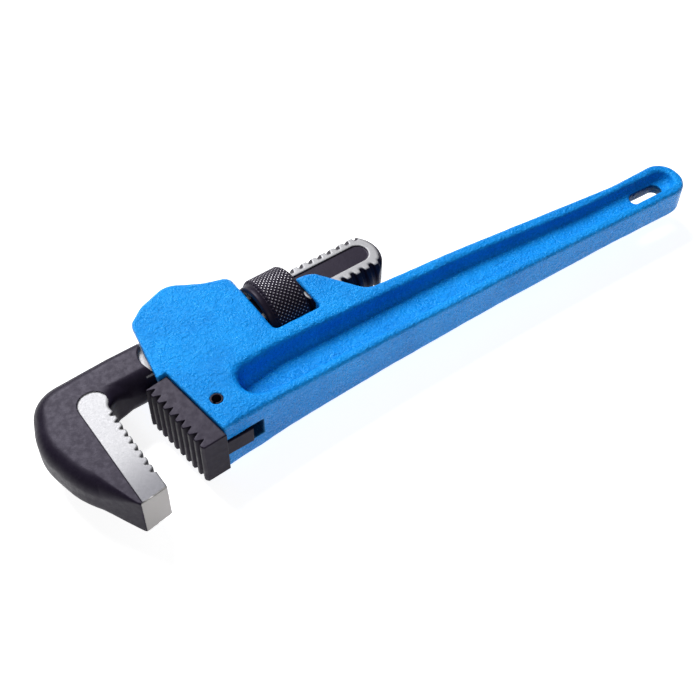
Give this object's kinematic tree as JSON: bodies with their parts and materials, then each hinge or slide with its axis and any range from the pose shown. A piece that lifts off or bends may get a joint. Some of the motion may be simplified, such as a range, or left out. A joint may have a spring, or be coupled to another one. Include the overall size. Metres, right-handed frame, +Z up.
{
  "type": "pipe wrench",
  "caption": "Straight pipe wrench with an I-beam handle, a sliding hook jaw driven by a knurled nut, a pinned heel jaw and a spring-loaded float.",
  "frame": {"origin": "centre of the outline seen from above, on the surface the wrench lies on", "axes": "+X from the jaws to the end of the handle, +Y away from the mouth, towards the back of the hook jaw, +Z up through the flat sides of the head"},
  "size_m": [0.3228, 0.0892, 0.0337],
  "materials": {
    "painted_casting": "gloss enamel over rough cast iron",
    "forged_jaw": "blackened forging with ground bright faces",
    "black_pin": "black oxide",
    "knurled_nut": "black oxide, diamond knurl",
    "spring_steel": "blued spring steel"
  },
  "bodies": {
    "handle": {"handle": "painted_casting", "heel_jaw": "forged_jaw", "heel_jaw_pin": "black_pin", "coil_spring": "spring_steel"},
    "spring_pack": {"flat_spring": "spring_steel", "spring_rivet": "spring_steel"},
    "hook_jaw": {"hook_jaw": "forged_jaw"},
    "adjusting_nut": {"adjusting_nut": "knurled_nut"}
  },
  "joints": [
    {"name": "jaw_rock", "type": "hinge", "parent": "handle", "child": "spring_pack", "pos_m": [-0.04155, 0.01565, 0.01684], "axis": [0, 0, -1], "range_deg": [0, 2], "stiffness_Nm_per_rad": 9, "springref_deg": -4.58, "deforming": ["coil_spring"]},
    {"name": "jaw_travel", "type": "slide", "parent": "spring_pack", "child": "hook_jaw", "axis": [-1, 0, 0], "range_m": [-0.0145, 0.043]},
    {"name": "nut_spin", "type": "hinge", "parent": "spring_pack", "child": "adjusting_nut", "pos_m": [-0.04155, 0.01565, 0.01684], "axis": [1, 0, 0], "range_deg": [-1046, 3098]}
  ],
  "couplings": [
    {"joint": "nut_spin", "follows": "jaw_travel", "rad_per_m": 1256.6}
  ]
}
